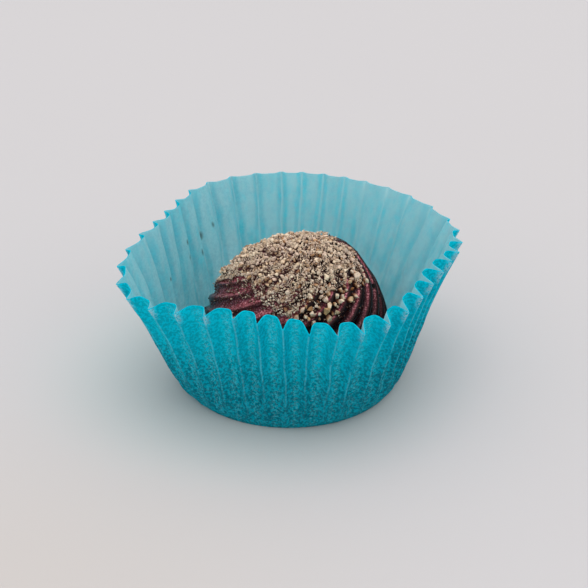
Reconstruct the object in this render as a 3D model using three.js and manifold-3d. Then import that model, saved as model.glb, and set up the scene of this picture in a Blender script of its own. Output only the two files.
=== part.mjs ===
// A moulded dark chocolate truffle with a nut topping, in its pleated paper case.
// Millimetres, +Z up, origin at the centre of the case's flat base.
import * as THREE from "three";
import { mergeVertices } from "three/addons/utils/BufferGeometryUtils.js";
import Module from "manifold-3d";

// Paper case
const BASE_RADIUS = 16.1; // the flat floor
const SLANT = 22.7; // paper from floor to rim, the same up every line of the wall
const PAPER = 0.4; // thickness of wall and floor
const PLEATS = 39;
const PLEAT_COLUMNS = 5; // facets across one pleat
const PLEAT_DEPTH = 1.5; // mean at the rim, in mm; each pleat runs out to nothing at the floor
const PLEAT_ROUNDNESS = 0.75; // below 1: a broad inward lobe between sharp outward folds
const FIRST_FOLD = 200; // azimuth in degrees
const WALL_STEPS = [0.05, 0.16, 0.42, 0.71, 1]; // rings up the wall, as shares of the slant
const LEAN = 22.8; // mean lean of the outward folds from the vertical, in degrees
const FLARE = 15.8; // the wall opens by this much from floor to rim
const HEEL = 38; // extra lean where the wall curves up out of the floor
const HEEL_REACH = 0.12; // share of the slant over which the heel dies away
// Uneven hand-set paper: [order round the case, cosine part, sine part], in degrees
const LEAN_WAVES = [[1, 1.86, 1.03], [2, -0.27, 2.29], [3, -0.43, -1.82], [4, 0.12, 4.42]];
const FOLD_DRIFT = [[1, -1.24, 3.83], [2, 0.94, 0.31], [3, -0.03, -0.65], [4, -0.95, -0.16]];
const FOLD_JITTER = 0.5; // degrees
const DEPTH_WAVES = [[1, 0, -0.55], [2, 0, -0.35], [3, 0.15, 0]]; // in mm: deep towards -Y, nearly smooth at 60 degrees
const DEPTH_JITTER = 0.2; // mm

// Chocolate
const CHOCOLATE_AT = [0.62, 0.64]; // it sits a little off the case's centre
const CHOCOLATE_HEIGHT = 20.35;
const SHOULDER_RADIUS = 14.95; // radius that the dome's curve runs out to
const SHOULDER_POWER = 2.4;
const CROWN_POWER = 2.29;
const CROWN_LEAN = 1.32; // the crown stands this far to +X of the foot
const LEAN_POWER = 1.83; // above 1: most of the lean is near the top
const SIDE_RADIUS = 14.4; // the lower side is nearly upright
const FOOT_RADIUS = 13.7;
const FOOT_HEIGHT = 1.6; // rounding at the foot
const RIBS = 18;
const RIB_COLUMNS = 4; // facets across one rib
const RIB_DEPTH = 0.65;
const RIB_FALL = 0.72; // share of a rib that falls away from its crest; the rest rises sharply to the next
const RIB_TWIST = 8.8; // degrees of swirl for each mm of height
const RIB_START = 13.4; // azimuth of one rib's crest at the foot, in degrees
const DOME_RINGS = [0, 0.5, 1.6, 4, 6.5, 8.8, 11, 13, 14.8, 16.3, 17.6, 18.7, 19.6];

// Chopped nuts on the crown
const NUTS = 150;
const NUT_LARGEST = 2; // length of a piece
const NUT_SMALLEST = 1.2;
const NUT_REACH = 13.3; // the pieces lie within this radius
const NUT_EDGE = 16.3; // height above the foot that the topping reaches down to
const NUT_EDGE_SWELLS = [[59, 2], [157, -4.6], [195, 1.9], [282, -2]]; // [azimuth in degrees, how much higher the edge is there]
const NUT_SWELL_WIDTH = 33; // degrees
const NUT_SPACING = 0.86; // closeness of two pieces, as a share of their mean length
const NUT_SINK = 0.05; // how deep a piece's middle lies in the chocolate, as a share of its length

const wasm = await Module();
wasm.setup();

const rad = THREE.MathUtils.degToRad;

// Repeatable random numbers from 0 to 1.
function randomFrom(seed) {
  let state = seed;
  return () => {
    state = (Math.imul(state, 1664525) + 1013904223) >>> 0;
    return state / 4294967296;
  };
}

// Sum of waves round the full turn at an angle in degrees.
function waves(table, degrees) {
  return table.reduce((sum, [order, c, s]) => {
    const a = rad(order * degrees);
    return sum + c * Math.cos(a) + s * Math.sin(a);
  }, 0);
}

// A closed skin from one centre point, through equal rings of points, to another centre point.
function skin(first, rings, last) {
  const columns = rings[0].length;
  const points = [first, ...rings.flat(), last];
  const faces = [];
  const at = (ring, column) => 1 + ring * columns + (column % columns);
  for (let i = 0; i < columns; i++) {
    faces.push(0, at(0, i + 1), at(0, i));
    for (let j = 0; j + 1 < rings.length; j++) {
      faces.push(at(j, i), at(j, i + 1), at(j + 1, i));
      faces.push(at(j, i + 1), at(j + 1, i + 1), at(j + 1, i));
    }
    faces.push(at(rings.length - 1, i), at(rings.length - 1, i + 1), points.length - 1);
  }
  const geometry = new THREE.BufferGeometry();
  geometry.setAttribute("position", new THREE.Float32BufferAttribute(points.flat(), 3));
  geometry.setIndex(faces);
  return geometry;
}

function polar(radius, degrees, z) {
  return [radius * Math.cos(rad(degrees)), radius * Math.sin(rad(degrees)), z];
}

// Azimuth and depth of each outward fold, and the columns of paper between them.
function pleatColumns() {
  const random = randomFrom(11);
  const folds = [];
  for (let i = 0; i < PLEATS; i++) {
    const even = (360 * i) / PLEATS;
    const azimuth = FIRST_FOLD + even + waves(FOLD_DRIFT, even) + FOLD_JITTER * (2 * random() - 1);
    const depth = PLEAT_DEPTH + waves(DEPTH_WAVES, azimuth) + DEPTH_JITTER * (2 * random() - 1);
    folds.push({ azimuth, depth });
  }
  folds.push({ azimuth: folds[0].azimuth + 360, depth: folds[0].depth });
  const columns = [];
  for (let i = 0; i < PLEATS; i++) {
    for (let k = 0; k < PLEAT_COLUMNS; k++) {
      const share = k / PLEAT_COLUMNS;
      const lobe = Math.sin(Math.PI * share) ** PLEAT_ROUNDNESS;
      columns.push({
        azimuth: THREE.MathUtils.lerp(folds[i].azimuth, folds[i + 1].azimuth, share),
        depth: folds[i].depth * (k ? lobe : 0),
      });
    }
  }
  return columns;
}

// Radius and height along one line up the wall: each step has the same length of paper.
function wallLine(column) {
  const lean = LEAN + waves(LEAN_WAVES, column.azimuth);
  const substeps = 100;
  const step = SLANT / substeps;
  const line = [];
  let radius = BASE_RADIUS;
  let height = 0;
  for (let k = 1; k <= substeps; k++) {
    const share = (k - 0.5) / substeps;
    const heel = HEEL * (Math.exp(-share / HEEL_REACH) - HEEL_REACH);
    const outer = lean + FLARE * (share - 0.5) + heel;
    const sine = Math.sin(rad(outer)) - column.depth / SLANT;
    radius += step * sine;
    height += step * Math.sqrt(1 - sine * sine);
    if (WALL_STEPS.includes(k / substeps)) line.push([radius, height]);
  }
  return line;
}

function paperCase() {
  const columns = pleatColumns();
  const lines = columns.map(wallLine);
  const floorRing = (radius, z) => columns.map((c) => polar(radius, c.azimuth, z));
  const wallRing = (step, inset) =>
    columns.map((c, i) => polar(lines[i][step][0] - inset, c.azimuth, lines[i][step][1]));
  const steps = WALL_STEPS.map((_, step) => step);
  const rings = [
    floorRing(BASE_RADIUS, 0),
    ...steps.map((step) => wallRing(step, 0)),
    ...steps.reverse().map((step) => wallRing(step, PAPER)),
    floorRing(BASE_RADIUS - PAPER / 2, PAPER),
  ];
  return skin([0, 0, 0], rings, [0, 0, PAPER]);
}

// Radius of the ribs' crests at a height above the chocolate's foot.
function crestRadius(z) {
  const rise = Math.min(z / CHOCOLATE_HEIGHT, 1) ** CROWN_POWER;
  const dome = SHOULDER_RADIUS * (1 - rise) ** (1 / SHOULDER_POWER);
  const foot = FOOT_RADIUS + (SIDE_RADIUS - FOOT_RADIUS) * Math.sqrt(Math.min(z / FOOT_HEIGHT, 1));
  return Math.min(dome, foot);
}

// Outline of a rib, 1 on its crest and 0 in the groove, at a share of the way round to the next crest.
function ribOutline(share) {
  const t = THREE.MathUtils.euclideanModulo(share, 1);
  const fall = 0.5 + 0.5 * Math.cos((Math.PI * t) / RIB_FALL);
  const rise = 0.5 - 0.5 * Math.cos((Math.PI * (t - RIB_FALL)) / (1 - RIB_FALL));
  return t < RIB_FALL ? fall : rise;
}

// Radius of the swirled surface at a height and an azimuth: the ribs fade out towards the top.
function domeRadius(z, degrees) {
  const crest = crestRadius(z);
  const outline = ribOutline((RIBS * (degrees - RIB_START - RIB_TWIST * z)) / 360);
  return crest - RIB_DEPTH * Math.min(1, crest / 8) * (1 - outline);
}

// A point of the dome at a radius from its leaning axis.
function onDome(radius, degrees, z) {
  const [x, y] = polar(radius, degrees, z);
  return [x + CROWN_LEAN * (z / CHOCOLATE_HEIGHT) ** LEAN_POWER, y, z];
}

function chocolateCore() {
  const columns = RIBS * RIB_COLUMNS;
  const rings = DOME_RINGS.map((z) =>
    Array.from({ length: columns }, (_, i) => {
      const azimuth = RIB_START + RIB_TWIST * z + (360 * i) / columns;
      return onDome(domeRadius(z, azimuth), azimuth, z);
    }),
  );
  return skin([0, 0, 0], rings, onDome(0, 0, CHOCOLATE_HEIGHT));
}

// The height that the topping reaches down to at an azimuth.
function nutEdge(degrees) {
  return NUT_EDGE_SWELLS.reduce((height, [azimuth, swell]) => {
    const off = THREE.MathUtils.euclideanModulo(degrees - azimuth + 180, 360) - 180;
    return height + swell * Math.exp(-((off / NUT_SWELL_WIDTH) ** 2));
  }, NUT_EDGE);
}

// Places for the pieces of nut: the largest come first, and each keeps clear of those before it.
function nutPlaces() {
  const random = randomFrom(29);
  const places = [];
  for (let tries = 0; places.length < NUTS && tries < 40000; tries++) {
    const share = places.length / NUTS;
    const length = NUT_LARGEST + (NUT_SMALLEST - NUT_LARGEST) * share ** 0.8;
    const azimuth = 360 * random();
    const radius = NUT_REACH * Math.sqrt(random());
    // height of the dome over that radius, by halving
    let low = 5;
    let high = CHOCOLATE_HEIGHT;
    for (let k = 0; k < 24; k++) {
      const middle = (low + high) / 2;
      if (domeRadius(middle, azimuth) > radius) low = middle;
      else high = middle;
    }
    if (low < nutEdge(azimuth) + length / 3) continue;
    const point = new THREE.Vector3(...onDome(radius, azimuth, low));
    const clear = places.every(
      (p) => p.point.distanceTo(point) > (NUT_SPACING * (p.length + length)) / 2,
    );
    if (clear) places.push({ point, length });
  }
  return places;
}

// One chopped piece: a block with uneven corners, longer than it is thick.
function nutPiece(place, random) {
  const lump = new THREE.BoxGeometry(0.8, 0.8, 0.8);
  lump.deleteAttribute("normal");
  lump.deleteAttribute("uv");
  const piece = mergeVertices(lump, 1e-4);
  const corners = piece.getAttribute("position");
  for (let i = 0; i < corners.count; i++) {
    const [x, y, z] = [0, 1, 2].map((axis) => corners.getComponent(i, axis) * (0.7 + 0.5 * random()));
    corners.setXYZ(i, x, y, z);
  }
  const size = new THREE.Vector3(1, 0.72 + 0.2 * random(), 0.6 + 0.25 * random());
  const turn = new THREE.Euler(6.28 * random(), 6.28 * random(), 6.28 * random());
  const matrix = new THREE.Matrix4().compose(
    place.point.clone().addScaledVector(place.point.clone().normalize(), -NUT_SINK * place.length),
    new THREE.Quaternion().setFromEuler(turn),
    size.multiplyScalar(place.length),
  );
  return piece.applyMatrix4(matrix);
}

function solidOf(geometry) {
  return new wasm.Manifold(
    new wasm.Mesh({
      numProp: 3,
      vertProperties: new Float32Array(geometry.getAttribute("position").array),
      triVerts: new Uint32Array(geometry.index.array),
    }),
  );
}

function geometryOf(solid) {
  const mesh = solid.getMesh();
  const geometry = new THREE.BufferGeometry();
  geometry.setAttribute("position", new THREE.BufferAttribute(mesh.vertProperties, mesh.numProp));
  geometry.setIndex(new THREE.BufferAttribute(mesh.triVerts, 1));
  return geometry;
}

function toppedChocolate() {
  const random = randomFrom(53);
  let solid = solidOf(chocolateCore());
  for (const place of nutPlaces()) solid = solid.add(solidOf(nutPiece(place, random)));
  return geometryOf(solid);
}

function named(name, geometry, color, roughness) {
  geometry.computeVertexNormals();
  const material = new THREE.MeshStandardMaterial({
    color,
    roughness,
    metalness: 0,
    flatShading: true,
  });
  const mesh = new THREE.Mesh(geometry, material);
  mesh.name = name;
  return mesh;
}

const part = new THREE.Group();
part.add(named("paper_case", paperCase(), 0x03859b, 0.6));

const food = new THREE.Group();
food.position.set(CHOCOLATE_AT[0], CHOCOLATE_AT[1], PAPER);
food.add(named("truffle", toppedChocolate(), 0x4a2326, 0.45));
part.add(food);

export default part;
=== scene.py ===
"""A moulded chocolate truffle with chopped nuts, in its pleated teal paper case.

Metres, +Z up, origin at the centre of the case's flat base.
"""

import math

import bpy
import numpy as np
from bpy.props import FloatProperty, FloatVectorProperty, IntProperty, PointerProperty
from mathutils import Euler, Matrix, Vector, noise


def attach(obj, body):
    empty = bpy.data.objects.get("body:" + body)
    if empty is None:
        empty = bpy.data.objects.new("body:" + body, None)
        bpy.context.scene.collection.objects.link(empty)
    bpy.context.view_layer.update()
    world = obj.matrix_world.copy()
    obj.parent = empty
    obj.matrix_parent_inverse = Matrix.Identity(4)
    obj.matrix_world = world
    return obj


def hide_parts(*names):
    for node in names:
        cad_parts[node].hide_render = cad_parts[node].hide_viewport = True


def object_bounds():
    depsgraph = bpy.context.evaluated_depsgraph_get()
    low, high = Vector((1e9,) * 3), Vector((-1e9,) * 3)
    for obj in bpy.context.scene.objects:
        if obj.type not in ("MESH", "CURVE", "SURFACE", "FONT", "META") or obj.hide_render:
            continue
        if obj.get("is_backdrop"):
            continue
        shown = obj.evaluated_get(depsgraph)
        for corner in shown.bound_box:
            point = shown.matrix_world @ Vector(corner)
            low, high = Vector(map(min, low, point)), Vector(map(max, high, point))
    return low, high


bl_info = {
    "name": "Chocolate truffle in a paper case",
    "version": (1, 0, 0),
    "blender": (4, 5, 0),
    "location": "View3D > Sidebar > Truffle",
    "description": "Folds the paper case, moulds the chocolate, scatters the nuts and sets the stage",
    "category": "Add Mesh",
}

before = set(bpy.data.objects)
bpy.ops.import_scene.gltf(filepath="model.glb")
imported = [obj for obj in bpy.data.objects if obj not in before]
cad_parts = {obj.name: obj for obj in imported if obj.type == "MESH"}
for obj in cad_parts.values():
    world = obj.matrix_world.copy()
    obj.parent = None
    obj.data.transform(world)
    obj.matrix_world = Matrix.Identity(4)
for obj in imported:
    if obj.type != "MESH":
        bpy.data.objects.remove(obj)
CAD_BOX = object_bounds()

MM = 0.001

# Uneven hand-set paper: (order round the case, cosine part, sine part), in degrees
LEAN_WAVES = ((1, 1.86, 1.03), (2, -0.27, 2.29), (3, -0.43, -1.82), (4, 0.12, 4.42))
FOLD_DRIFT = ((1, -1.24, 3.83), (2, 0.94, 0.31), (3, -0.03, -0.65), (4, -0.95, -0.16))
FOLD_JITTER = 0.5  # degrees
# The same for the depth of the pleats, in mm: deepest towards -Y, nearly smooth at 60 degrees
DEPTH_WAVES = ((1, 0, -0.8), (2, 0, -0.35), (3, 0.15, 0))
DEPTH_JITTER = 0.2 * MM
FIRST_FOLD = 200  # azimuth in degrees
# Shares of the slant between which a fold kinks
KINK_SPANS = ((0.18, 0.3), (0.38, 0.5), (0.55, 0.68), (0.8, 0.9))
KINK_SIZES = (0, 0.7, 1, 0.7, 0.3, 0)  # at the floor, at each kink and at the rim
HEEL = 38  # extra lean in degrees where the wall curves up out of the floor
HEEL_REACH = 0.12  # share of the slant over which the heel dies away
LOBE_POWERS = (4.6, 2.7)  # breadth of the inward lobe and roundness of the fold
FOLD_CROWDING = 0.6  # share by which the columns crowd towards the folds
CRUMPLE_WAVES = 14
WALL_SUBSTEPS = 200
# Substeps at which a ring of paper stands: close together at the heel
WALL_RINGS = np.array((0, 1, 2, 3, 4, 6, 8, 10, 13, 16, *range(20, WALL_SUBSTEPS + 1, 6)))
FLOOR_INSETS = (0.03, 0.3)  # shares of the radius by which the floor's own rings step inwards

THROUGH = 0.6  # share of the light that the paper lets through
FAR_FROM_FOLD = 3 * MM  # what the flat floor takes as its distance from a fold

# Smudges of chocolate on the inner face: x, y, z and half width, in mm
STAINS = (
    (-13.62, 16.07, 14.45, 0.62),
    (-15.38, 11.2, 16.04, 0.42),
    (-13.22, 14.23, 12.58, 0.5),
    (-15.04, 11.05, 13.51, 0.4),
    (-11.65, 17.83, 15.49, 0.45),
    (-17.82, 5.01, 13.12, 0.3),
)
STAIN_FORM = np.array((1, 1, 1.7))  # a smudge is taller than it is wide

# Chocolate
CHOCOLATE_AT = np.array([0.62, 0.64, 0.4]) * MM  # centre of its foot
SHOULDER_POWER = 2.4
CROWN_POWER = 2.29
LEAN_POWER = 1.83  # above 1: most of the crown's lean is near the top
FOOT_HEIGHT = 1.6 * MM
RIB_START = 13.4  # azimuth of one rib's crest at the foot, in degrees
RIB_FALL = 0.72  # share of a rib that falls away from its crest; the rest rises sharply to the next
RIB_FADE = 8 * MM  # crest radius below which the ribs run out
UNEVENNESS = 0.05 * MM  # height of the slight waves of the moulded surface
BULGE_AT = 44  # azimuth in degrees of the side that stands out
BULGE_WIDTH = 27  # degrees
BULGE_SLOPE = (0.57, 0.82)  # shares of the bulge that go outwards and upwards
BULGE_HEIGHTS = (15.2 * MM, 17.2 * MM, 18.6 * MM, 19.5 * MM)  # it rises, stays and falls away between these
# How much lustre powder lies at shares of the way from one rib's crest to the next; the table also paints a
# highlight on the ledge that faces up and shade on the face that turns down
LUSTRE_ACROSS = (
    (0, 0.15, 0.25, 0.35, 0.45, 0.55, 0.67, 0.75, 0.85, 0.93, 1),
    (0.14, 0.08, 0.14, 0.35, 0.55, 0.74, 0.72, 0.82, 1, 0.6, 0.14),
)
# How much lies at heights in mm above the foot: on the -X side, on the +X side, and how much is left under the
# nuts. More higher up and less on the +X side is partly painted top light and shade; the cut under the nuts is
# painted shade
LUSTRE_LEFT = ((10.5, 12, 13.5, 15), (0.1, 0.35, 0.8, 1))
LUSTRE_RIGHT = ((10.5, 12, 13.5, 15, 17), (0.05, 0.15, 0.35, 0.65, 0.8))
LUSTRE_SHADED_UNDER_NUTS = ((17.2, 18.6), (1, 0.4))
LUSTRE_TURNS_AT = -0.5 * MM  # X at which the powder starts to lie as on the +X side
LUSTRE_TURNS_OVER = 4 * MM
# Air bubbles on the ribs: (azimuth in degrees, height above the foot, half sizes along the axes)
PINHOLES = (
    (356.9, 14.39 * MM, (0.4 * MM, 0.6 * MM, 0.55 * MM)),
    (359.5, 12.41 * MM, (0.25 * MM, 0.4 * MM, 0.35 * MM)),
    (184.2, 12.83 * MM, (0.25 * MM, 0.35 * MM, 0.25 * MM)),
)

# Chopped nuts
TOPPING_EDGE = 16.3 * MM  # height above the foot that the topping reaches down to
# How much higher the edge is near an azimuth: (degrees, mm)
EDGE_SWELLS = ((18, 1.1), (40, 0.9), (59, 1.5), (157, -4.6), (195, 1.9), (282, -2))
SWELL_WIDTH = 33  # degrees
LOWEST_GRAIN = 8 * MM  # height above the foot below which no grain is tried
COARSE_AT = 312  # azimuth in degrees of the middle of the coarse chunks
COARSE_TOP = 18.2 * MM  # height above the foot that they reach up to
# Nearly bare places between the chunks: (azimuth, width, strength before it is cut off at 1, top, most)
BARE_PLACES = ((294, 24, 1.6, 17.4 * MM, 0.97), (328, 17, 1, 18 * MM, 0.85))
DUSTY_AT = 215  # azimuth in degrees where specks stray farthest below the edge
MOST_GRAINS = 20000
GRAIN_REST = 0.3  # height of a grain's middle over bare chocolate, as a share of its half length
GRAIN_REACH = 0.86  # grains touch at this share of the sum of their half lengths
GRAIN_STACKING = 0.8  # share of its full height that a grain keeps on top of another
CLUMP = 1.2 * MM  # size of the heaps and hollows in the topping
OTHER_CLUMP = Vector((9, 5, 2))  # step to where the noise is unlike
SHADE_PATCH = 1.6 * MM  # size of the places whose grains have like shades
TRIES, SPARE_TRIES = 30, 8000  # for each wanted grain, and over
SHAPES_PER_KIND = 12
# Chopped shapes of length 1: how far a corner strays, and the least thickness
GRAIN_FORMS = {"block": (0.42, 0.62), "chip": (0.25, 0.5)}

# Seeds of the random numbers
FOLD_SEED, KINK_SEED, CRUMPLE_SEED, TONE_SEED = 11, 5, 21, 3
TOPPING_SEED, TURNING_SEED = 17, 40

# Stage
WARM_PATCH = ((-0.05, -0.06, 0), (0.09, 0.07, 0.09))  # centre and half sizes
# Where the table gets painted teal light from the paper: centre and half sizes
TEAL_LIGHT_PATCH = ((-0.006, 0, 0), (0.038, 0.038, 0.038))
AMBIENT_TINT = (1, 0.985, 0.99, 1)  # linear
CAMERA_SEES = (0.05, 10)  # nearest and farthest


def linear(red, green, blue):
    """A screen colour of 0 to 255 as the linear colour that shaders take."""
    shares = (c / 255 for c in (red, green, blue))
    return tuple(c / 12.92 if c <= 10 / 255 else ((c + 0.055) / 1.055) ** 2.4 for c in shares)


def length(name, description, default):
    return FloatProperty(
        name=name, description=description, default=default,
        min=0, precision=5, subtype="DISTANCE", unit="LENGTH",
    )


def degrees(name, description, default):
    return FloatProperty(name=name, description=description, default=default)


def place(name, description, default):
    return FloatVectorProperty(
        name=name, description=description, default=default, subtype="TRANSLATION", unit="LENGTH"
    )


def colour(name, description, *screen):
    return FloatVectorProperty(
        name=name, description=description, default=linear(*screen), subtype="COLOR", size=3, min=0, max=1
    )


class CaseSettings(bpy.types.PropertyGroup):
    """Sizes and colours of the pleated paper case."""

    base_radius: length("Base radius", "Radius of the flat floor", 16.1 * MM)
    slant: length("Slant", "Paper from the floor to the rim, the same up every line of the wall", 22.7 * MM)
    floor_paper: length("Floor thickness", "Thickness of the pressed floor", 0.4 * MM)
    wall_paper: length("Wall thickness", "Thickness of the pleated wall", 0.14 * MM)
    pleats: IntProperty(name="Pleats", description="Outward folds round the case", default=39, min=3)
    columns: IntProperty(name="Columns", description="Faces across one pleat", default=20, min=4)
    pleat_depth: length("Pleat depth", "Mean depth at the rim; a pleat runs out at the floor", 1.5 * MM)
    rim_dip: length("Rim dip", "How far the cut rim dips between the folds on the +Y side", 0.22 * MM)
    lean: degrees("Lean", "Mean lean of the folds from the vertical, in degrees", 22.8)
    flare: degrees("Flare", "Degrees by which the wall opens from floor to rim", 15.8)
    kink: degrees("Kink", "Largest sideways stray of a fold part way up, in degrees", 0.9)
    crumple: length("Crumple", "Height of the soft waves in the paper", 0.1 * MM)
    teal: colour("Outside", "Dyed outer face", 0, 217, 237)
    # Mottling of the dye, and also painted shade on the lower outer wall
    deep: colour("Outside, mottled and shaded", "Darker mottling low on the outer face", 0, 116, 136)
    fleck: colour("Flecks", "Pale fibres that show through the dye", 130, 222, 230)
    scuff: colour("Scuffs", "Bared paper on the folds at the rim", 226, 240, 240)
    inner: colour("Inside", "Paler inner face near the rim", 200, 226, 223)
    # Painted light: the inner face is lighter towards the floor, where the chocolate shades it
    inner_low_lit: colour("Inside, low", "Inner face near the floor", 240, 255, 254)
    # Painted shade: the darker, stronger colour beside each fold stands for the shade in the pleats
    inner_flank_shade: colour("Inside, flanks", "Stronger colour beside each fold", 116, 224, 230)
    through: colour("Through", "Light that comes through the undyed face", 222, 237, 240)
    through_flank: colour("Through, flanks", "Light that comes through by the folds", 150, 226, 236)
    grey: colour("Inside, fibres", "Greyish fibres of the inner face", 196, 206, 212)
    pit: colour("Inside, pits", "Deeper grains of the inner face on the -X side", 90, 176, 190)
    stain: colour("Stains", "Smudges of chocolate on the inner face", 96, 84, 76)


class ChocolateSettings(bpy.types.PropertyGroup):
    """Sizes and colours of the moulded chocolate."""

    height: length("Height", "Height above its foot", 20.35 * MM)
    shoulder_radius: length("Shoulder radius", "Radius that the dome's curve runs out to", 14.95 * MM)
    side_radius: length("Side radius", "Radius of the nearly upright lower side", 14.4 * MM)
    foot_radius: length("Foot radius", "Radius where it stands on the paper", 13.7 * MM)
    crown_lean: length("Crown lean", "How far the crown stands to +X of the foot", 1.32 * MM)
    bulge: length("Bulge", "How far the shoulder of the crown stands out at the back right", 0.75 * MM)
    ribs: IntProperty(name="Ribs", description="Swirled ribs round the dome", default=18, min=1)
    rib_depth: length("Rib depth", "Depth of the grooves between the ribs", 0.65 * MM)
    rib_twist: degrees("Rib twist", "Degrees of swirl for each millimetre of height", 8.8)
    columns: IntProperty(name="Columns", description="Faces round the dome", default=360, min=18)
    rings: IntProperty(name="Rings", description="Rings of faces from foot to crown", default=110, min=8)
    lustre: colour("Lustre", "Burgundy powder on the ribs", 157, 77, 88)
    # Painted glints where flakes of the powder catch the light
    glint: colour("Glints", "Brightest flakes of the powder", 226, 168, 172)
    # Painted shade at the bottom of the air bubbles
    hole_shade: colour("Bubbles", "Bottom of the air bubbles", 6, 4, 4)
    dark: colour("Chocolate", "Bare dark chocolate beside the ribs", 22, 7, 8)


class NutSettings(bpy.types.PropertyGroup):
    """Amounts, sizes and colours of the chopped nuts."""

    chunks: IntProperty(name="Chunks", description="Coarse chunks low on the front", default=100, min=0)
    chunk_size: length("Chunk size", "Length of the largest chunks", 1.3 * MM)
    pieces: IntProperty(name="Pieces", description="Larger pieces among the crumbs", default=400, min=0)
    piece_size: length("Piece size", "Length of the largest pieces", 1 * MM)
    crumbs: IntProperty(name="Crumbs", description="Crumbs between and over the pieces", default=4200, min=0)
    crumb_size: length("Crumb size", "Length of the largest crumbs", 0.8 * MM)
    specks: IntProperty(name="Specks", description="Specks of nut dust", default=6500, min=0)
    speck_size: length("Speck size", "Length of the largest specks", 0.32 * MM)
    pile: length("Pile", "Most height of a grain's middle above the chocolate", 0.56 * MM)
    cream: colour("Flesh", "Pale inner flesh of the nut", 234, 217, 190)
    rosy: colour("Rosy", "Flesh with a breath of lustre on it", 214, 190, 172)
    tan: colour("Roasted", "Roasted flesh", 188, 138, 88)
    toasted: colour("Toasted", "Lightly roasted flesh", 188, 148, 104)
    brown: colour("Brown", "Dull brown flesh", 158, 126, 98)
    grey: colour("Dusty", "Greyish pieces dusted with sugar and lustre", 186, 166, 152)
    skin: colour("Skin", "Brown nut skin", 108, 64, 28)
    # Amber lower sides of the coarse chunks: partly roasted colour, partly painted shade
    amber_and_shade: colour("Amber", "Roasted side of the coarse chunks", 156, 88, 22)
    # Painted shade low on the grains and in the gaps between them
    low_grain_shade: colour("Sunk", "Painted shade low on the grains", 58, 15, 4)


class StageSettings(bpy.types.PropertyGroup):
    """Floor, light and camera."""

    table_size: length("Table size", "Side of the square table", 4)
    floor: colour("Floor", "Pale matt table", 192, 190, 191)
    floor_warm: colour("Floor, warm", "Warmer patch of the table in front", 190, 184, 179)
    # Painted light: teal light that the paper casts on the table
    floor_teal_light: colour("Floor, tinted", "Table tinted by the paper round it", 186, 201, 198)
    key: FloatProperty(name="Key light", description="Power of the lamp", default=1.9, min=0, unit="POWER")
    key_size: length("Key light size", "Diameter of the round lamp", 0.8)
    key_at: place("Key light place", "Middle of the lamp, which faces the case", (0.07, 0.0, 0.75))
    ambient: FloatProperty(name="Ambient", description="Strength of the even light", default=1.05, min=0)
    camera_elevation: degrees("Camera elevation", "Degrees above the horizon", 31.6)
    camera_distance: length("Camera distance", "From the lens to the case's centre", 480 * MM)
    camera_aim: place("Camera aim", "Point that the camera looks at", (0.72 * MM, 6.08 * MM, 9.88 * MM))
    camera_lens: FloatProperty(name="Lens", description="Focal length in mm, 36 mm sensor", default=193.96)


# Shader building


class Wire:
    """A socket that takes part in Python sums. Each sum adds a Math node to the material."""

    def __init__(self, finish, socket):
        self.finish, self.socket = finish, socket

    def math(self, operation, *values):
        return self.finish.node("ShaderNodeMath", {"operation": operation}, dict(enumerate(values)))

    def __add__(self, other):
        return self.math("ADD", self, other)

    def __sub__(self, other):
        return self.math("SUBTRACT", self, other)

    def __rsub__(self, other):
        return self.math("SUBTRACT", other, self)

    def __mul__(self, other):
        return self.math("MULTIPLY", self, other)

    def __abs__(self):
        return self.math("ABSOLUTE", self)

    __radd__, __rmul__ = __add__, __mul__

    def most(self, other):
        return self.math("MAXIMUM", self, other)

    def clipped(self):
        return self.math("MINIMUM", self.most(0), 1)

    def step(self, start, end):
        """0 before start, 1 after end, smooth in between; end may be below start."""
        falls = start > end
        low, high = sorted((start, end))
        ends = {"From Min": low, "From Max": high, "To Min": float(falls), "To Max": float(not falls)}
        smooth = {"interpolation_type": "SMOOTHSTEP"}
        return self.finish.node("ShaderNodeMapRange", smooth, {"Value": self, **ends})


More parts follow.
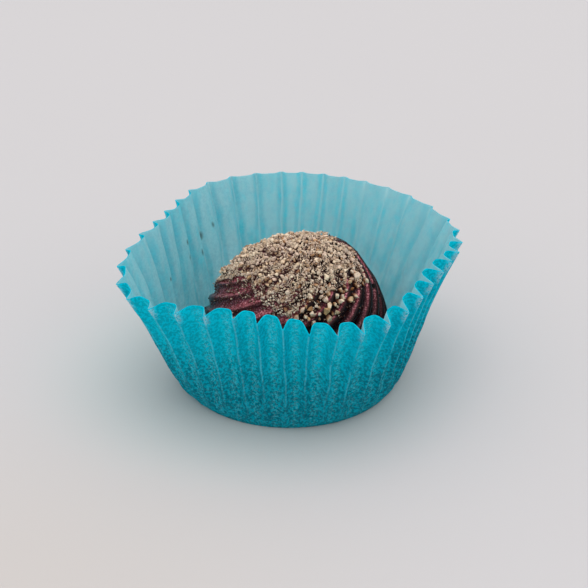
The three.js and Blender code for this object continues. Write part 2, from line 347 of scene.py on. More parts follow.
class Finish:
    """The node tree of one material."""

    def __init__(self, name):
        self.material = bpy.data.materials.new(name)
        self.material.use_nodes = True
        self.tree = self.material.node_tree
        self.tree.nodes.clear()

    def node(self, kind, settings=None, inputs=None, output=0):
        """Adds a node: settings first, then the values or wires of its sockets. Gives one output."""
        node = self.tree.nodes.new(kind)
        for name, value in (settings or {}).items():
            if name == "stops":
                ramp = node.color_ramp
                while len(ramp.elements) < len(value):
                    ramp.elements.new(1)
                for element, (position, shade) in zip(ramp.elements, value):
                    element.position, element.color = position, (*shade, 1)
            else:
                setattr(node, name, value)
        for key, value in (inputs or {}).items():
            if isinstance(value, Wire):
                self.tree.links.new(value.socket, node.inputs[key])
            else:
                node.inputs[key].default_value = (*value, 1) if node.inputs[key].type == "RGBA" else value
        return Wire(self, node.outputs[output])

    def place(self):
        return self.node("ShaderNodeTexCoord", output="Object")

    def attribute(self, name):
        return self.node("ShaderNodeAttribute", {"attribute_name": name}, output="Fac")

    def attributes(self, *names):
        return [self.attribute(name) for name in names]

    def noise(self, at, scale, detail, distortion=0.0):
        """Noise about 0.5 with grains of 1 / scale metres."""
        inputs = {"Vector": at, "Scale": scale, "Detail": detail, "Distortion": distortion}
        return self.node("ShaderNodeTexNoise", inputs=inputs)

    def mix(self, share, first, second):
        """first where share is 0, second where it is 1. Each is a colour or a wire."""
        inputs = {"Factor": share, 6: first, 7: second}
        return self.node("ShaderNodeMix", {"data_type": "RGBA"}, inputs, output=2)

    def spots(self, at, spots, rim):
        """1 inside ellipsoids, each a centre and its half sizes, and 0 outside, over a soft rim."""
        found = 0
        for centre, radii in spots:
            offset = self.node("ShaderNodeVectorMath", {"operation": "SUBTRACT"}, {0: at, 1: tuple(centre)})
            scaled = self.node("ShaderNodeVectorMath", {"operation": "DIVIDE"}, {0: offset, 1: tuple(radii)})
            far = self.node("ShaderNodeVectorMath", {"operation": "LENGTH"}, {0: scaled}, output="Value")
            found = far.step(1, 1 - rim).most(found)
        return found

    def scuffs(self, at, crease, rise, specks):
        """Rubbed spots on the folds close to the rim, on the -X and +X sides."""
        side = abs(self.node("ShaderNodeSeparateXYZ", inputs={0: at})).step(6 * MM, 14 * MM)
        return side * crease.step(0.5 * MM, 0.15 * MM) * rise.step(0.88, 0.96) * specks.step(0.4, 0.52)

    def surface(self, shade, roughness, specular, **others):
        """The opaque shader. The others are its Normal and Metallic."""
        inputs = {"Base Color": shade, "Roughness": roughness, "Specular IOR Level": specular, **others}
        return self.node("ShaderNodeBsdfPrincipled", inputs=inputs)

    def bump(self, height, depth, strength=1.0):
        return self.node("ShaderNodeBump", inputs={"Height": height, "Distance": depth, "Strength": strength})

    def done(self, shader):
        self.tree.links.new(shader.socket, self.tree.nodes.new("ShaderNodeOutputMaterial").inputs["Surface"])
        return self.material


def paper_shader(finish, shade, normal, glow, *tints):
    """Matt thin paper. The light that comes through has the glow's colour, and each tint by its share."""
    face = finish.surface(shade, 0.6, 0.03, Normal=normal)
    behind = finish.node("ShaderNodeBsdfTranslucent", inputs={"Color": glow})
    for share, tint in tints:
        tinted = finish.node("ShaderNodeBsdfTranslucent", inputs={"Color": tint})
        behind = finish.node("ShaderNodeMixShader", inputs={0: share, 1: behind, 2: tinted})
    return finish.done(finish.node("ShaderNodeMixShader", inputs={0: THROUGH, 1: face, 2: behind}))


def outside_paper(case):
    """Dyed face: pale flecks down each lobe, a pale line down each fold that is partly whitened crease and
    partly painted highlight, mottled, and darker low down as painted shade.
    """
    finish = Finish("paper_outside")
    at = finish.place()
    crease, lobe, rise, tone = finish.attributes("crease", "lobe", "rise", "tone")
    fibres = finish.noise(at, 1900, 3, 1.0)
    specks = finish.noise(at, 3300, 2, 0.5)
    patches = finish.noise(at, 420, 2)
    mottle = finish.noise(at, 2500, 2, 0.4)

    marks = abs(fibres - 0.5).step(0.045, 0.008).most(specks.step(0.57, 0.7))
    band = (lobe + 0.6 * (patches - 0.5) + 0.1 * tone).step(0.5, 0.85)
    low = (rise + 0.25 * (patches - 0.5)).step(0.8, 0.1)
    flecks = marks * (band * (0.24 + 0.28 * rise) + low * 0.13 + 0.06) * rise.step(1.0, 0.93)
    # A pale line down each fold: partly whitened paper at the crease, partly a painted highlight where the
    # crease catches the light
    line = crease.step(0.19 * MM, 0.05 * MM) * (fibres + patches).step(0.72, 1.05) * rise.step(0.0, 0.6) * 0.5
    pale = flecks.most(line)
    # Mottled dye, plus painted shade that darkens the wall towards the floor
    dark = mottle.step(0.58, 0.42) * (low * 0.6 + 0.5) + 0.5 * low

    shade = finish.mix(dark, case.teal, case.deep)
    shade = finish.mix(pale, shade, case.fleck)
    shade = finish.mix(finish.scuffs(at, crease, rise, specks) * 0.9, shade, case.scuff)
    normal = finish.bump(fibres * 0.5 + mottle, 0.05 * MM, 0.5)
    # The light through the paper carries the same painted shade and painted highlight
    return paper_shader(finish, shade, normal, case.teal, (0.5 * dark, case.deep), (pale * 0.7, case.fleck))


def inside_paper(case):
    """Paler inner face: soft blotches, a stronger colour beside each fold as painted shade, a painted light
    line along each fold, painted light low down, and a few smudges of chocolate.
    """
    finish = Finish("paper_inside")
    at = finish.place()
    x = finish.node("ShaderNodeSeparateXYZ", inputs={0: at})
    crease, fold, rise, tone = finish.attributes("crease", "fold", "rise", "tone")
    blotches = finish.noise(at, 260, 3)
    grain = finish.noise(at, 1300, 3, 0.4)
    fibres = finish.noise(at, 1900, 3, 1.0)
    drawn_out = finish.node("ShaderNodeVectorMath", {"operation": "MULTIPLY"}, {0: at, 1: (1, 1, 0.15)})
    streaks = finish.noise(drawn_out, 800, 2)

    # Painted shade beside each fold, stronger on the -X side
    beside = crease.step(0.15 * MM, 0.4 * MM) * crease.step(1.0 * MM, 0.6 * MM) * (0.85 - 0.75 * fold).most(0)
    painted_flank_shade = beside * (x.step(14 * MM, 2 * MM) * 0.55 + 0.35)
    clouds = painted_flank_shade + 1.2 * (blotches - 0.45) + 2.1 * (streaks - 0.47) + 0.1 * tone
    upper = rise.step(0.25, 0.8)
    threads = abs(fibres - 0.5).step(0.06, 0.01) * 0.3
    # Painted light: a pale line along each fold, where light comes through the crease
    line = crease.step(0.25 * MM, 0.05 * MM) * (blotches + streaks).step(0.85, 1.1) * 0.5
    worn = abs(x).step(6 * MM, 14 * MM) * crease.step(1.1 * MM, 0.3 * MM) * rise.step(0.8, 0.96) * 0.5
    # Fibres, wear and scuffs are the paper's own; the fold line among them is painted light
    wear_and_crease_light = (threads + line).most(worn).most(finish.scuffs(at, crease, rise, grain))
    pits = finish.noise(at, 2500, 2, 0.4).step(0.56, 0.42) * x.step(0, -12 * MM) * 0.12
    smudges = [(np.array(centre) * MM, wide * STAIN_FORM * MM) for *centre, wide in STAINS]
    stains = 0.7 * finish.spots(at, smudges, 0.9)

    # Painted light: lighter towards the floor, and whiter light through the paper there
    shade = finish.mix(upper, case.inner_low_lit, case.inner)
    shade = finish.mix(clouds, shade, case.inner_flank_shade)
    shade = finish.mix(grain.step(0.44, 0.6) * 0.4, shade, case.grey)
    marks = ((pits, case.pit), (wear_and_crease_light, case.scuff), (stains, case.stain))
    for share, mark in marks:
        shade = finish.mix(share, shade, mark)
    normal = finish.bump(grain, 0.03 * MM, 0.4)
    # The light through the paper is tinted by the same painted shade beside the folds
    glow = ((upper, case.through), (clouds.clipped() * 0.6, case.through_flank))
    return paper_shader(finish, shade, normal, linear(255, 255, 255), *glow, *marks)


def edge_paper(case):
    """The cut rim, dyed through like the outer face."""
    finish = Finish("paper_edge")
    at = finish.place()
    shade = finish.mix(finish.noise(at, 900, 2).step(0.35, 0.65) * 0.5, case.teal, case.deep)
    return paper_shader(finish, shade, finish.bump(finish.noise(at, 2500, 2), 0.02 * MM), case.teal)


def lustred_chocolate(choc):
    """Dark glossy chocolate whose ribs are dusted with burgundy lustre. The lustre's spread and its glints are
    partly painted light and shade, and the bubbles hold painted shade.
    """
    finish = Finish("chocolate_lustred")
    at, dust = finish.place(), finish.attribute("dust")
    cloud = finish.noise(at, 300, 3)
    flake = finish.noise(at, 3800, 3)
    # dust holds the lustre powder together with the painted highlight and shade
    lustre = dust * (0.72 + 0.6 * cloud + 3.6 * (flake - 0.5)).most(0)
    # Painted glints: bright flakes where the powder catches the light
    glint = flake.step(0.54, 0.62) * dust
    bubbles = [(CHOCOLATE_AT + on_dome(choc, z, azimuth), sizes) for azimuth, z, sizes in PINHOLES]
    holes = finish.spots(at, bubbles, 0.4)

    shade = finish.mix(lustre, choc.dark, choc.lustre)
    shade = finish.mix(glint * 0.75, shade, choc.glint)
    # Painted shade in the air bubbles
    shade = finish.mix(holes, shade, choc.hole_shade)
    normal = finish.bump(cloud + flake * 0.5 - holes * 3, 0.05 * MM, 0.35)
    roughness = 0.25 + lustre * 0.15 + holes * 0.3
    return finish.done(finish.surface(shade, roughness, 0.08, Metallic=lustre * 0.5, Normal=normal))


def nut_flesh(nuts, name, dusty, roasted):
    """Chopped nut: each grain has its own shade, with brown skin on some, amber lower sides on roasted ones
    that are partly painted shade, and painted shade low on its sides.
    """
    finish = Finish(name)
    at = finish.place()
    tone, lift = finish.attributes("tone", "lift")
    patch = finish.noise(at, 1100, 2)
    grain = finish.noise(at, 4200, 3)
    stops = (
        (0.0, nuts.skin),
        (0.08, nuts.tan),
        (0.2, nuts.cream),
        (0.46, nuts.rosy),
        (0.6, nuts.grey),
        (0.74, nuts.toasted),
        (0.86, nuts.cream),
        (1.0, nuts.brown),
    )
    shade = finish.node("ShaderNodeValToRGB", {"stops": stops}, {"Fac": tone})
    shade = finish.mix((patch + 0.25 * tone).step(0.74, 0.86) * 0.75, shade, nuts.skin)
    shade = finish.mix(finish.noise(at, 420, 2).step(0.42, 0.62) * 0.5, shade, nuts.cream)
    shade = finish.mix(grain.step(0.46, 0.34) * 0.35, shade, nuts.skin)
    shade = finish.mix(dusty, shade, nuts.grey)
    shade = finish.mix(grain.step(0.44, 0.6) * roasted * 0.5, shade, nuts.tan)
    # Amber low on the roasted grains: partly roasted colour, partly painted shade
    shade = finish.mix((lift + 0.6 * MM * patch).step(0.95 * MM, 0.5 * MM) * roasted, shade, nuts.amber_and_shade)
    # Painted shade low on each grain, where the grains shade each other
    shade = finish.mix(lift.step(0.45 * MM, 0.1 * MM) * 0.97, shade, nuts.low_grain_shade)
    normal = finish.bump(grain + patch, 0.08 * MM, 0.5)
    return finish.done(finish.surface(shade, 0.5, 0.25, Normal=normal))


def table_top(stage):
    """Pale matt table, faintly clouded, warmer in front, with painted teal light round the case."""
    finish = Finish("table_top")
    at = finish.place()
    clouds = finish.noise(at, 14, 2)
    shade = finish.mix(clouds.step(0.3, 0.7) * 0.5, stage.floor, tuple(c * 0.985 for c in stage.floor))
    shade = finish.mix(finish.spots(at, [WARM_PATCH], 0.95) * 0.7, shade, stage.floor_warm)
    # Painted teal light cast by the paper round the case
    shade = finish.mix(finish.spots(at, [TEAL_LIGHT_PATCH], 0.6) * 0.42, shade, stage.floor_teal_light)
    return finish.done(finish.surface(shade, 0.7, 0.2))


# Shape helpers


def random_from(seed):
    """Repeatable random numbers from 0 to 1."""
    state = seed
    while True:
        state = (state * 1664525 + 1013904223) % 2**32
        yield state / 2**32


def waves(table, angle):
    """Sum of waves round the full turn at an angle in degrees."""
    turn = np.radians(angle)
    return sum(c * np.cos(order * turn) + s * np.sin(order * turn) for order, c, s in table)


def polar(radius, azimuth):
    turn = np.radians(azimuth)
    return radius * np.cos(turn), radius * np.sin(turn)


def around(azimuth, middle, width):
    """1 at an azimuth, falling away over a width in degrees."""
    off = (azimuth - middle + 180) % 360 - 180
    return np.exp(-((off / width) ** 2))


def coordinates(piece):
    co = np.empty(len(piece.data.vertices) * 3)
    piece.data.vertices.foreach_get("co", co)
    return co.reshape(-1, 3)


def move_to(piece, co):
    piece.data.vertices.foreach_set("co", np.asarray(co, np.float32).ravel())
    piece.data.update()


def point_attribute(piece, name, values):
    made = piece.data.attributes.new(name, "FLOAT", "POINT")
    made.data.foreach_set("value", np.asarray(values, np.float32))


def select_where(piece, chosen):
    """Goes from object to edit mode with the vertices selected that the mask names, and nothing else."""
    mesh = piece.data
    mesh.polygons.foreach_set("select", np.zeros(len(mesh.polygons), bool))
    mesh.edges.foreach_set("select", np.zeros(len(mesh.edges), bool))
    mesh.vertices.foreach_set("select", chosen)
    bpy.ops.object.mode_set(mode="EDIT")


def face_outwards():
    """From edit mode, turns all faces outwards and goes to object mode."""
    bpy.ops.mesh.select_all(action="SELECT")
    bpy.ops.mesh.normals_make_consistent(inside=False)
    bpy.ops.object.mode_set(mode="OBJECT")


def ringed_cup(name, columns, radius, rings, rise):
    """A straight cup on a closed floor, whose columns and rings can be told from its coordinates."""
    bpy.ops.object.select_all(action="DESELECT")
    bpy.ops.mesh.primitive_circle_add(vertices=columns, radius=radius, fill_type="NOTHING")
    piece = bpy.context.object
    piece.name = piece.data.name = name
    bpy.ops.object.mode_set(mode="EDIT")
    bpy.ops.mesh.select_all(action="SELECT")
    for _ in range(rings):
        bpy.ops.mesh.extrude_region_move(TRANSFORM_OT_translate={"value": (0, 0, rise)})
    bpy.ops.object.mode_set(mode="OBJECT")
    select_where(piece, coordinates(piece)[:, 2] < rise / 2)
    bpy.ops.mesh.edge_face_add()
    for share in FLOOR_INSETS:
        bpy.ops.mesh.inset(thickness=radius * share)
    bpy.ops.mesh.poke()
    return piece


def finished(piece, node, materials=(), smooth_below=None):
    """Gives a piece its materials and its place in the frame. smooth_below is an angle in degrees."""
    bpy.ops.object.select_all(action="DESELECT")
    piece.select_set(True)
    bpy.context.view_layer.objects.active = piece
    for material in materials:
        piece.data.materials.append(material)
    if smooth_below is not None:
        bpy.ops.object.shade_smooth_by_angle(angle=math.radians(smooth_below))
    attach(piece, "root")
    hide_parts(node)


# Paper case


def folds(case):
    """Azimuth in degrees and depth of each outward fold."""
    random = random_from(FOLD_SEED)
    even = 360 * np.arange(case.pleats) / case.pleats
    stray, deep = np.array([[next(random), next(random)] for _ in even]).T
    azimuth = FIRST_FOLD + even + waves(FOLD_DRIFT, even) + FOLD_JITTER * (2 * stray - 1)
    return azimuth, case.pleat_depth + MM * waves(DEPTH_WAVES, azimuth) + DEPTH_JITTER * (2 * deep - 1)


def fold_strays(case, shares):
    """Sideways stray of each fold at shares of the slant, in degrees: straight runs between a few kinks."""
    random = np.random.default_rng(KINK_SEED)
    strays = []
    for _ in range(case.pleats):
        knots = [0, *(random.uniform(*span) for span in KINK_SPANS), 1]
        sizes = KINK_SIZES * random.uniform(-1, 1, len(KINK_SIZES))
        strays.append(case.kink * np.interp(shares, knots, sizes))
    return np.array(strays)


def wall_lines(case, azimuth, depth):
    """Radius and height at each substep up the wall, for each column. All substeps have the same length."""
    step = case.slant / WALL_SUBSTEPS
    share = (np.arange(WALL_SUBSTEPS) + 0.5) / WALL_SUBSTEPS
    heel = HEEL * (np.exp(-share / HEEL_REACH) - HEEL_REACH)  # its mean over the wall is about 0
    lean = case.lean + waves(LEAN_WAVES, azimuth)[:, None]
    outer = lean + case.flare * (share - 0.5) + heel
    sine = np.sin(np.radians(outer)) - depth[:, None] / case.slant
    start = np.zeros((len(azimuth), 1))
    radius = case.base_radius + np.cumsum(np.hstack([start, step * sine]), axis=1)
    height = np.cumsum(np.hstack([start, step * np.sqrt(1 - sine**2)]), axis=1)
    return radius, height


def crumples(azimuth, share):
    """Soft waves in the paper, about -1 to 1, that run out at the floor and the rim."""
    random = np.random.default_rng(CRUMPLE_SEED)
    turn = np.radians(azimuth)
    total = np.zeros(np.broadcast(turn, share).shape)
    for _ in range(CRUMPLE_WAVES):
        order, climb, start = random.integers(9, 60), random.uniform(6, 26), random.uniform(0, 6.28)
        total += np.sin(order * turn + climb * share + start)
    return total / 5 * np.clip(share / 0.15, 0, 1) * np.clip((1.02 - share) / 0.2, 0, 1)


def fold_case(case, piece):
    """Folds the straight cup into pleats."""
    columns = case.pleats * case.columns
    co = coordinates(piece)
    flat = np.hypot(co[:, 0], co[:, 1])
    wall = flat > case.base_radius * 0.99
    column = np.round(np.degrees(np.arctan2(co[:, 1], co[:, 0])) * columns / 360).astype(int) % columns
    ring = np.where(wall, np.round(co[:, 2] / case.wall_paper).astype(int), 0)

    azimuth, depth = folds(case)
    azimuth, depth = np.append(azimuth, azimuth[0] + 360), np.append(depth, depth[0])
    pleat, across = np.divmod(np.arange(columns), case.columns)
    across = across / case.columns
    across = across - FOLD_CROWDING * np.sin(2 * np.pi * across) / (2 * np.pi)
    share = WALL_RINGS / WALL_SUBSTEPS
    stray = fold_strays(case, share)
    stray = np.vstack([stray, stray[:1]])
    mean_azimuth = azimuth[pleat] + across * (azimuth[pleat + 1] - azimuth[pleat])
    strayed = mean_azimuth[:, None] + (1 - across)[:, None] * stray[pleat] + across[:, None] * stray[pleat + 1]

    breadth, roundness = LOBE_POWERS
    lobe = (1 - abs(2 * across - 1) ** breadth) ** roundness
    radius, height = wall_lines(case, mean_azimuth, depth[pleat] * lobe)
    radius, height = radius[:, WALL_RINGS], height[:, WALL_RINGS]
    behind = np.clip(np.sin(np.radians(mean_azimuth)), 0, 1)[:, None]
    height = height - case.rim_dip * behind * lobe[:, None] * share**3
    radius = radius + case.crumple * crumples(mean_azimuth[:, None], share[None, :]) * (lobe[:, None] > 0)
    x, y = polar(np.where(wall, radius[column, ring], flat), strayed[column, ring])
    z = np.where(wall, height[column, ring], 0)
    move_to(piece, np.stack([x, y, z], axis=1))

    width = np.radians(np.diff(azimuth))[pleat][:, None] * radius
    from_fold = np.minimum(across, 1 - across)[:, None] * width
    rise = np.where(wall, share[ring], 0)
    tones = np.random.default_rng(TONE_SEED).uniform(-1, 1, case.pleats)
    point_attribute(piece, "crease", np.where(wall, from_fold[column, ring], FAR_FROM_FOLD))
    point_attribute(piece, "lobe", np.where(wall, (1 - abs(2 * across - 1))[column], 0.5))
    point_attribute(piece, "rise", rise)
    point_attribute(piece, "fold", np.where(wall, depth[pleat[column]] / (2 * MM), 0))
    point_attribute(piece, "tone", tones[pleat[column]])
    stiffen_floor(case, piece, rise)


def stiffen_floor(case, piece, rise):
    """A vertex group that keeps the full thickness for the floor and thins the wall above the heel."""
    thin = case.wall_paper / case.floor_paper
    weight = np.round(np.interp(rise, [0, 0.03, 0.1], [1, 1, thin]), 3)
    stiff = piece.vertex_groups.new(name="stiff")
    for value in np.unique(weight):
        stiff.add(np.flatnonzero(weight == value).tolist(), float(value), "REPLACE")


class TRUFFLE_OT_paper_case(bpy.types.Operator):
    """Fold the pleated paper case"""

    bl_idname = "truffle.paper_case"
    bl_label = "Paper case"

    def execute(self, context):
        case = context.scene.truffle_case
        columns = case.pleats * case.columns
        piece = ringed_cup("case_paper", columns, case.base_radius, len(WALL_RINGS) - 1, case.wall_paper)
        face_outwards()
        side = next(p for p in piece.data.polygons if p.center.z > case.wall_paper)
        if side.normal.dot(Vector((side.center.x, side.center.y, 0))) < 0:
            raise RuntimeError("the case's wall faces inwards")
        fold_case(case, piece)
        bpy.ops.object.modifier_add(type="SOLIDIFY")
        paper = piece.modifiers[-1]
        paper.thickness = case.floor_paper
        paper.offset = -1
        paper.use_even_offset = False
        paper.vertex_group = "stiff"
        paper.material_offset = 1
        paper.material_offset_rim = 2
        for material in (outside_paper(case), inside_paper(case), edge_paper(case)):
            piece.data.materials.append(material)
        bpy.ops.object.modifier_apply(modifier=paper.name)
        finished(piece, "paper_case", smooth_below=40)
        return {"FINISHED"}


# Chocolate


def crest_radius(choc, z):
    """Radius of the ribs' crests at a height above the foot."""
    rise = np.minimum(z / choc.height, 1) ** CROWN_POWER
    dome = choc.shoulder_radius * np.maximum(1 - rise, 0) ** (1 / SHOULDER_POWER)
    foot = choc.foot_radius + (choc.side_radius - choc.foot_radius) * np.sqrt(np.minimum(z / FOOT_HEIGHT, 1))
    return np.minimum(dome, foot)


def rib_share(choc, z, azimuth):
    """How far round from a rib's crest to the next, 0 to 1."""
    return choc.ribs * (azimuth - RIB_START - choc.rib_twist * z / MM) / 360 % 1


def rib_outline(share):
    """1 on a rib's crest and 0 in the groove: a slow fall, then a sharp rise like a ledge."""
    fall = 0.5 + 0.5 * np.cos(np.pi * share / RIB_FALL)
    rise = 0.5 - 0.5 * np.cos(np.pi * (share - RIB_FALL) / (1 - RIB_FALL))
    return np.where(share < RIB_FALL, fall, rise)


def on_dome(choc, z, azimuth, out=0.0):
    """Points of the swirled surface, moved out by some distance.

    The ribs fade out towards the top, the crown leans, and one side of it stands out.
    """
    crest = crest_radius(choc, z)
    groove = choc.rib_depth * np.minimum(1, crest / RIB_FADE) * (1 - rib_outline(rib_share(choc, z, azimuth)))
    bulge = choc.bulge * around(azimuth, BULGE_AT, BULGE_WIDTH) * np.interp(z, BULGE_HEIGHTS, (0, 1, 1, 0))
    outwards, upwards = BULGE_SLOPE
    x, y = polar(crest - groove + out + outwards * bulge, azimuth)
    lean = choc.crown_lean * (z / choc.height) ** LEAN_POWER
    return np.stack([x + lean, y, z + upwards * bulge], axis=-1)


def crown_heights(choc):
    """Heights of the rings, evenly spaced along the dome's outline."""
    z = choc.height * np.sin(np.linspace(0, np.pi / 2, 2000))
    run = np.hypot(np.diff(z), np.diff(crest_radius(choc, z)))
    run = np.concatenate([[0], np.cumsum(run)])
    return np.interp(np.linspace(0, run[-1], choc.rings + 1), run, z)


def unevenness(choc, z, azimuth):
    """Slight waves of the moulded surface, which run out at the foot and the crown."""
    first = np.sin(np.radians(3 * azimuth) + z / (2.1 * MM))
    second = np.sin(z / (1.7 * MM) + np.radians(2 * azimuth))
    height = UNEVENNESS * first * second
    return height * np.minimum(1, z / (3 * MM)) * np.minimum(1, crest_radius(choc, z) / RIB_FADE)


def lustre_and_painted_light(choc, z, azimuth, x):
    """How much lustre lies, partly powder and partly painted light and shade: most where the dome faces up, as
    painted top light; less on the +X side and under the nuts, as painted shade. On the +X side it keeps to the
    ridges.
    """
    right = np.clip((x - LUSTRE_TURNS_AT) / LUSTRE_TURNS_OVER, 0, 1)
    upward = np.interp(z / MM, *LUSTRE_LEFT) * (1 - right) + right * np.interp(z / MM, *LUSTRE_RIGHT)
    upward = upward * np.interp(z / MM, *LUSTRE_SHADED_UNDER_NUTS)
    return upward * np.interp(rib_share(choc, z, azimuth), *LUSTRE_ACROSS) ** (1 + 7 * right)


def swirl_dome(choc, piece, rise):
    """Swirls the straight cup into the ribbed dome; the last ring closes on the crown."""
    co = coordinates(piece)
    flat = np.hypot(co[:, 0], co[:, 1])
    wall = flat > choc.foot_radius * 0.99
    ring = np.round(co[:, 2] / rise).astype(int)
    z = crown_heights(choc)[ring]
    azimuth = np.degrees(np.arctan2(co[:, 1], co[:, 0])) + choc.rib_twist * z / MM + RIB_START
    dome = on_dome(choc, z, azimuth, unevenness(choc, z, azimuth))
    x, y = polar(flat, azimuth)
    move_to(piece, np.where(wall[:, None], dome, np.stack([x, y, 0 * z], axis=1)) + CHOCOLATE_AT)
    # dust: lustre powder together with painted highlight and painted shade
    point_attribute(piece, "dust", np.where(wall, lustre_and_painted_light(choc, z, azimuth, dome[:, 0]), 0))


class TRUFFLE_OT_chocolate(bpy.types.Operator):
    """Mould the swirled chocolate"""

    bl_idname = "truffle.chocolate"
    bl_label = "Chocolate"

    def execute(self, context):
        choc = context.scene.truffle_chocolate
        rise = choc.height / choc.rings
        piece = ringed_cup("chocolate", choc.columns, choc.foot_radius, choc.rings, rise)
        bpy.ops.object.mode_set(mode="OBJECT")
        swirl_dome(choc, piece, rise)
        bpy.ops.object.mode_set(mode="EDIT")
        bpy.ops.mesh.select_all(action="SELECT")
        bpy.ops.mesh.remove_doubles(threshold=0.00001)
        face_outwards()
        finished(piece, "truffle", (lustred_chocolate(choc),), smooth_below=50)
        return {"FINISHED"}


# Nuts


def topping_edge(azimuth):
    """Height above the foot that the topping reaches down to."""
    swells = (swell * MM * around(azimuth, middle, SWELL_WIDTH) for middle, swell in EDGE_SWELLS)
    return TOPPING_EDGE + sum(swells)


def bareness(z, azimuth):
    """How little fine stuff lies between the coarse chunks: 1 or more where there is none."""
    return sum(
        most * min(1, strength * around(azimuth, middle, width)) * (z < top)
        for middle, width, strength, top, most in BARE_PLACES
    )


# How likely a grain of each kind stays where it falls


def chunks_here(z, azimuth):
    return (z > topping_edge(azimuth) - 0.1 * MM) * around(azimuth, COARSE_AT, 28) * (z < COARSE_TOP)


def pieces_here(z, azimuth):
    above = z - topping_edge(azimuth)
    denser = 0.6 + 0.4 * around(azimuth, COARSE_AT, 40)
    return (above > 0.3 * MM) * denser * min(1, 0.5 + above / (2 * MM)) * (1 - 0.45 * bareness(z, azimuth))


def crumbs_here(z, azimuth):
    above = z - topping_edge(azimuth)
    return (above > 0.15 * MM) * (1 - bareness(z, azimuth)) * min(1, 0.3 + above / (1.2 * MM))


def specks_here(z, azimuth):
    below = topping_edge(azimuth) - z
    stray = around(azimuth, DUSTY_AT, 40)
    if below < 0:
        return 1 - bareness(z, azimuth)
    return (0.03 + 0.1 * stray) * math.exp(-below / ((0.6 + 1.8 * stray) * MM))


def surface_normal(choc, z, azimuth):
    """Outward normal of the dome, by small differences."""
    up = on_dome(choc, min(z + 0.1 * MM, choc.height * 0.999), azimuth) - on_dome(choc, z - 0.1 * MM, azimuth)
    along = on_dome(choc, z, azimuth + 0.5) - on_dome(choc, z, azimuth - 0.5)
    normal = np.cross(along, up)
    return normal / np.linalg.norm(normal)


def random_spots(choc, random):
    """Endless random spots on the upper dome, even over its surface: height and azimuth."""
    z = LOWEST_GRAIN + (choc.height - LOWEST_GRAIN) * np.sin(np.linspace(0, np.pi / 2, 4000))
    radius = crest_radius(choc, z)
    area = np.concatenate([[0], np.cumsum(np.hypot(np.diff(z), np.diff(radius)) * radius[1:])])
    while True:
        yield float(np.interp(random.random() * area[-1], area, z)), 360 * random.random()


def grain_shapes(kind):
    """Convex chopped shapes of length 1 as (points, triangles), each modelled and taken apart."""
    stray, thick = GRAIN_FORMS[kind]
    shapes = []
    for k in range(SHAPES_PER_KIND):
        bpy.ops.object.select_all(action="DESELECT")
        bpy.ops.mesh.primitive_ico_sphere_add(subdivisions=1, radius=0.5)
        made = bpy.context.object
        bpy.ops.object.mode_set(mode="EDIT")
        bpy.ops.mesh.select_all(action="SELECT")
        bpy.ops.transform.vertex_random(offset=stray, seed=k)
        bpy.ops.transform.resize(value=(1, 0.7 + 0.28 * (k * 7 % 5) / 4, thick + 0.3 * (k * 3 % 4) / 3))
        bpy.ops.mesh.convex_hull()
        bpy.ops.mesh.select_all(action="SELECT")
        bpy.ops.mesh.quads_convert_to_tris()
        face_outwards()
        faces = np.array([tuple(p.vertices) for p in made.data.polygons])
        points = coordinates(made)
        points -= points.mean(axis=0)
        shapes.append((points / np.ptp(points, axis=0).max(), faces))
        bpy.data.meshes.remove(made.data)
    return shapes


class Topping:
    """The grains laid so far: the chocolate under each, its half length and the height of its middle."""

    def __init__(self, choc, pile):
        self.choc, self.pile = choc, pile
        self.random = np.random.default_rng(TOPPING_SEED)
        self.at = np.empty((MOST_GRAINS, 3))
        self.half = np.empty(MOST_GRAINS)
        self.lift = np.empty(MOST_GRAINS)
        self.count = 0

    def lay(self, wanted, longest, spread, likely):
        """Drops grains at random spots until enough have found a place on the chocolate or on each other.

        Their lengths run from least to least + more of the longest; a power over 1 makes more of them small.
        """
        least, more, power = spread
        spots = random_spots(self.choc, self.random)
        laid = []
        for _ in range(wanted * TRIES + SPARE_TRIES):
            if len(laid) == wanted:
                break
            z, azimuth = next(spots)
            if self.random.random() > likely(z, azimuth):
                continue
            half = longest * (least + more * self.random.random() ** power) / 2
            at = on_dome(self.choc, z, azimuth)
            clump = Vector(at / CLUMP)
            fullness = 0.9 + 1.3 * noise.noise(clump)
            if self.random.random() > fullness:
                continue
            n = self.count
            reach = (self.half[:n] + half) * GRAIN_REACH
            apart = np.linalg.norm(self.at[:n] - at, axis=1)
            near = apart < reach
            lift = GRAIN_REST * half
            if near.any():
                over = GRAIN_STACKING * np.sqrt(reach[near] ** 2 - apart[near] ** 2)
                lift = max(lift, float((self.lift[:n][near] + over).max()))
            heap = self.pile * (0.8 + 0.9 * noise.noise(clump + OTHER_CLUMP))
            if lift > heap:
                continue
            self.at[n], self.half[n], self.lift[n] = at, half, lift
            self.count += 1
            laid.append((at + CHOCOLATE_AT, surface_normal(self.choc, z, azimuth), lift, 2 * half))
        return laid


def joined_grains(name, laid, shapes, seed):
    """One mesh of all the grains, each a turned and sized copy of a shape, with a shade of its own."""
    random = np.random.default_rng(seed)
    points, faces, tones, lifts, start = [], [], [], [], 0
    for k, (foot, normal, lift, size) in enumerate(laid):
        shape, triangles = shapes[k % len(shapes)]
        turned = shape @ np.array(Euler(random.uniform(0, 6.283, 3)).to_matrix()).T * size
        points.append(turned + foot + lift * normal)
        faces.append(triangles + start)
        patch = noise.noise(Vector(foot / SHADE_PATCH))
        tones.append(np.full(len(shape), (0.7 * random.random() + 0.15 + 0.5 * patch) % 1))
        lifts.append(turned @ normal + lift)
        start += len(shape)
    mesh = bpy.data.meshes.new(name)
    mesh.from_pydata(np.concatenate(points).tolist(), [], np.concatenate(faces).tolist())
    piece = bpy.data.objects.new(name, mesh)
    bpy.context.scene.collection.objects.link(piece)
    point_attribute(piece, "tone", np.concatenate(tones))
    point_attribute(piece, "lift", np.concatenate(lifts))
    return piece


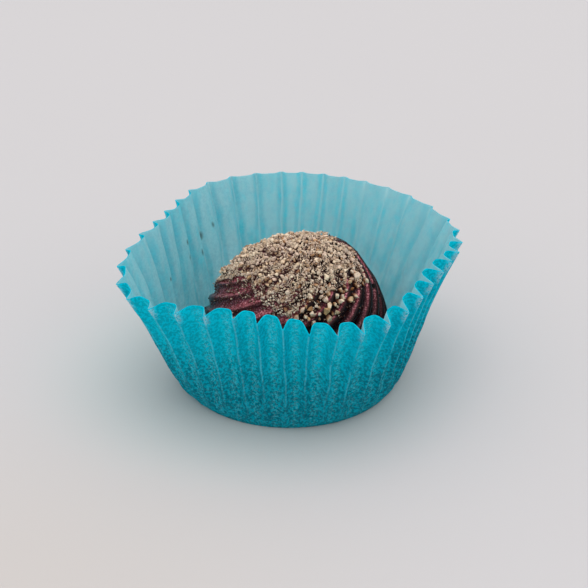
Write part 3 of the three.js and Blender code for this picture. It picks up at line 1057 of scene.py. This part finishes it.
class TRUFFLE_OT_nuts(bpy.types.Operator):
    """Scatter the chopped nuts over the crown"""

    bl_idname = "truffle.nuts"
    bl_label = "Nuts"

    def execute(self, context):
        nuts, choc = context.scene.truffle_nuts, context.scene.truffle_chocolate
        topping = Topping(choc, nuts.pile)
        # name, how many, longest, how lengths spread, where, shape, share of dust, share of roast
        kinds = (
            ("nut_chunks", nuts.chunks, nuts.chunk_size, (0.55, 0.45, 1), chunks_here, "block", 0.0, 0.8),
            ("nut_pieces", nuts.pieces, nuts.piece_size, (0.6, 0.4, 1), pieces_here, "block", 0.0, 0.2),
            ("nut_crumbs", nuts.crumbs, nuts.crumb_size, (0.26, 0.74, 2), crumbs_here, "chip", 0.12, 0.0),
            ("nut_specks", nuts.specks, nuts.speck_size, (0.45, 0.55, 1), specks_here, "chip", 0.3, 0.0),
        )
        for k, (name, wanted, longest, spread, likely, shape, dusty, roasted) in enumerate(kinds):
            laid = topping.lay(wanted, longest, spread, likely)
            if len(laid) < wanted / 2:
                raise RuntimeError(f"only {len(laid)} of {wanted} {name} found a place")
            piece = joined_grains(name, laid, grain_shapes(shape), TURNING_SEED + k)
            finished(piece, "truffle", (nut_flesh(nuts, name, dusty, roasted),))
        return {"FINISHED"}


# Stage


class TRUFFLE_OT_stage(bpy.types.Operator):
    """Set the table, the light and the camera"""

    bl_idname = "truffle.stage"
    bl_label = "Stage"

    def execute(self, context):
        stage = context.scene.truffle_stage
        bpy.ops.object.select_all(action="DESELECT")
        bpy.ops.mesh.primitive_plane_add(size=stage.table_size)
        floor = context.object
        floor.name = "table"
        floor.data.materials.append(table_top(stage))
        floor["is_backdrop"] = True

        bpy.ops.object.light_add(type="AREA", location=stage.key_at)
        key = context.object
        key.data.shape = "DISK"
        key.data.size = stage.key_size
        key.data.energy = stage.key
        key.rotation_euler = Vector(key.location).to_track_quat("Z", "Y").to_euler()

        world = bpy.data.worlds.new("even_light")
        world.use_nodes = True
        sky = world.node_tree.nodes["Background"]
        sky.inputs["Color"].default_value = AMBIENT_TINT
        sky.inputs["Strength"].default_value = stage.ambient
        context.scene.world = world

        elevation = math.radians(stage.camera_elevation)
        eye = stage.camera_distance * Vector((0, -math.cos(elevation), math.sin(elevation)))
        turn = (eye - Vector(stage.camera_aim)).to_track_quat("Z", "Y").to_euler()
        bpy.ops.object.camera_add(location=eye, rotation=turn)
        camera = context.object
        camera.data.lens = stage.camera_lens
        camera.data.clip_start, camera.data.clip_end = CAMERA_SEES
        context.scene.camera = camera
        context.scene.view_settings.view_transform = "Standard"
        return {"FINISHED"}


class TRUFFLE_PT_panel(bpy.types.Panel):
    """Lists the operators and their settings."""

    bl_idname = "TRUFFLE_PT_panel"
    bl_label = "Truffle"
    bl_space_type = "VIEW_3D"
    bl_region_type = "UI"
    bl_category = "Truffle"

    def draw(self, context):
        for operator, settings, _ in PARTS:
            box = self.layout.box()
            box.operator(operator.bl_idname)
            group = getattr(context.scene, settings)
            for name in group.bl_rna.properties.keys():
                if name not in {"rna_type", "name"}:
                    box.prop(group, name)


PARTS = (
    (TRUFFLE_OT_stage, "truffle_stage", StageSettings),
    (TRUFFLE_OT_paper_case, "truffle_case", CaseSettings),
    (TRUFFLE_OT_chocolate, "truffle_chocolate", ChocolateSettings),
    (TRUFFLE_OT_nuts, "truffle_nuts", NutSettings),
)


def register():
    for operator, settings, group in PARTS:
        bpy.utils.register_class(group)
        bpy.utils.register_class(operator)
        setattr(bpy.types.Scene, settings, PointerProperty(type=group))
    bpy.utils.register_class(TRUFFLE_PT_panel)


def unregister():
    bpy.utils.unregister_class(TRUFFLE_PT_panel)
    for operator, settings, group in reversed(PARTS):
        delattr(bpy.types.Scene, settings)
        bpy.utils.unregister_class(operator)
        bpy.utils.unregister_class(group)


def main():
    register()
    bpy.ops.truffle.stage()
    bpy.ops.truffle.paper_case()
    bpy.ops.truffle.chocolate()
    bpy.ops.truffle.nuts()
    boxes = {"cad": CAD_BOX, "visual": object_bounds()}
    {name: [list(low), list(high)] for name, (low, high) in boxes.items()}


if __name__ == "__main__":
    main()
